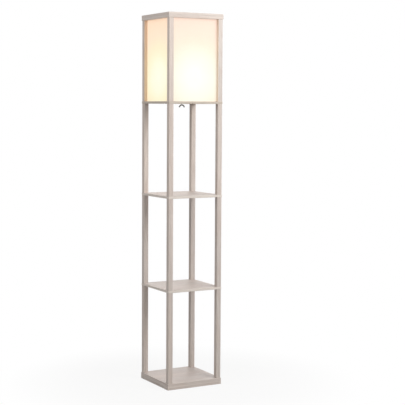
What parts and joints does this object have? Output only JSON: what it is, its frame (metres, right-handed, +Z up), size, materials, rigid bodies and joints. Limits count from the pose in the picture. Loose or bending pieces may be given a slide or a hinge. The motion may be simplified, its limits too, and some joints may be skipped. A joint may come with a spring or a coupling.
{
  "type": "shelf floor lamp",
  "caption": "Tall square floor lamp with open shelves between corner posts, a lit fabric shade box at the top and a half-ring pull under it.",
  "frame": {"origin": "on the floor under the middle of the square base", "axes": "+Z up along the lamp's axis; X and Y square to the sides, -Y is the face called front"},
  "size_m": [0.26, 0.26, 1.6],
  "materials": {
    "oak": "pale washed oak foil on board, fine straight grain, matt",
    "felt": "pressed felt",
    "zinc_steel": "bright zinc plate",
    "dowel_beech": "plain beech",
    "shade_linen": "plain-weave off-white cloth on a stiff translucent backing, lit from inside",
    "grommet_rubber": "moulded rubber",
    "brass": "drawn brass",
    "holder_plastic": "black moulded plastic",
    "ceramic": "unglazed lamp ceramic",
    "cap_metal": "rolled aluminium",
    "bulb_plastic": "white moulded plastic",
    "bulb_opal": "opal, lit",
    "spring_steel": "spring wire",
    "chain_steel": "bead chain",
    "handle_grey": "dark grey satin enamel"
  },
  "bodies": {
    "frame": {"base_strip_front": "oak", "base_strip_right": "oak", "base_strip_back": "oak", "base_strip_left": "oak", "base_board": "oak", "lower_shelf": "oak", "upper_shelf": "oak", "shade_floor_frame": "oak", "cap_rail_front": "oak", "cap_rail_right": "oak", "cap_rail_back": "oak", "cap_rail_left": "oak", "post_low_front_left": "oak", "post_low_front_right": "oak", "post_low_back_right": "oak", "post_low_back_left": "oak", "post_mid_front_left": "oak", "post_mid_front_right": "oak", "post_mid_back_right": "oak", "post_mid_back_left": "oak", "post_high_front_left": "oak", "post_high_front_right": "oak", "post_high_back_right": "oak", "post_high_back_left": "oak", "post_shade_front_left": "oak", "post_shade_front_right": "oak", "post_shade_back_right": "oak", "post_shade_back_left": "oak", "felt_pads": "felt", "base_screws": "zinc_steel", "post_studs": "zinc_steel", "crossbar": "zinc_steel", "bar_screws": "zinc_steel", "hat_bracket": "zinc_steel", "nipple_nuts": "zinc_steel", "arm_pin": "zinc_steel", "cap_dowels": "dowel_beech", "shade_panel_front": "shade_linen", "shade_panel_right": "shade_linen", "shade_panel_back": "shade_linen", "shade_panel_left": "shade_linen", "cord_grommet": "grommet_rubber", "holder_nipple": "brass", "screw_shell": "brass", "centre_contact": "brass", "switch_neck": "brass", "neck_nut": "brass", "contact_blades": "brass", "holder_cup": "holder_plastic", "holder_shell": "holder_plastic", "switch_housing": "holder_plastic", "switch_cover": "holder_plastic", "holder_core": "ceramic", "arm_spring": "spring_steel"},
    "bulb": {"bulb_cap": "cap_metal", "bulb_body": "bulb_plastic", "bulb_globe": "bulb_opal"},
    "arm": {"switch_arm": "brass"},
    "chain": {"pull_chain": "chain_steel"},
    "handle": {"pull_handle": "handle_grey"}
  },
  "joints": [
    {"name": "pull_slide", "type": "slide", "parent": "frame", "child": "chain", "axis": [0, 0, -1], "range_m": [0, 0.006], "stiffness_N_per_m": 400, "springref_m": -0.003},
    {"name": "arm_swing", "type": "hinge", "parent": "frame", "child": "arm", "pos_m": [-0.009, 0, 1.2397], "axis": [0, 1, 0], "range_deg": [0, 42], "deforming": ["arm_spring"]},
    {"name": "handle_swing", "type": "hinge", "parent": "chain", "child": "handle", "pos_m": [0, 0, 1.2131], "axis": [0, 1, 0], "range_deg": [-15, 15]},
    {"name": "bulb_lift", "type": "slide", "parent": "frame", "child": "bulb", "axis": [0, 0, 1], "range_m": [0, 0.032]}
  ],
  "couplings": [
    {"joint": "arm_swing", "follows": "pull_slide", "rad_per_m": 113.28}
  ]
}
